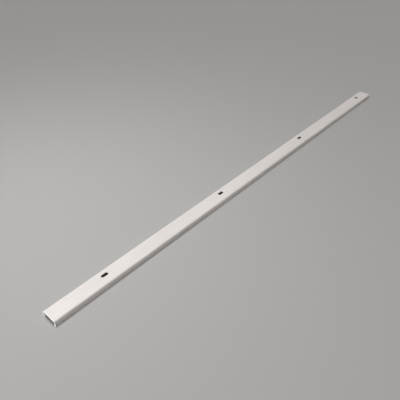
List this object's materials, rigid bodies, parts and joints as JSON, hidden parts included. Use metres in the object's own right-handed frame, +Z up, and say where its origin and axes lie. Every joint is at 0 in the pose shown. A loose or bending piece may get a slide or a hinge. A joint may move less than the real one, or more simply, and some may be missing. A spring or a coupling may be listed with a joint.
{
  "type": "cable trunking",
  "caption": "Straight length of white plastic cable trunking base: a shallow channel with rounded long edges, snap lips on its leg tips and a row of screw slots in its web.",
  "frame": {"origin": "on the level of the leg tips, under the middle of the length and width", "axes": "+X along the length, away from the end with the wider slot margin; +Y across, towards the slot row; +Z up, out of the web's mounting face"},
  "size_m": [1, 0.03, 0.01],
  "materials": {
    "white_pvc": "satin, extruded"
  },
  "bodies": {
    "root": {"trunking_base": "white_pvc"}
  },
  "joints": []
}
